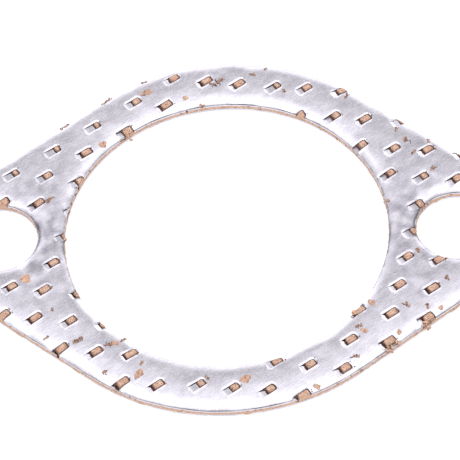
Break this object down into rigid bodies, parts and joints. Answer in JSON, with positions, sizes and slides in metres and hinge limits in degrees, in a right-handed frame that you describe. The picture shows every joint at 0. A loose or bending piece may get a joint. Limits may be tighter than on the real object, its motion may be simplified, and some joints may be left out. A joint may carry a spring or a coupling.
{
  "type": "exhaust gasket",
  "caption": "Flat two-bolt exhaust flange gasket: a fibre core clinched between two perforated tinplate facings, with a round gas bore.",
  "frame": {"origin": "centre of the gas bore, on the face that rests on the flange", "axes": "+X through the two bolt holes, +Z out of the upper facing"},
  "size_m": [0.079, 0.0558, 0.0018],
  "materials": {
    "tinplate": "satin tinplate with a fine rolled grain",
    "fibre": "matt pressed fibre, rough at its cut edges"
  },
  "bodies": {
    "root": {"upper_facing": "tinplate", "fibre_core": "fibre", "lower_facing": "tinplate"}
  },
  "joints": []
}
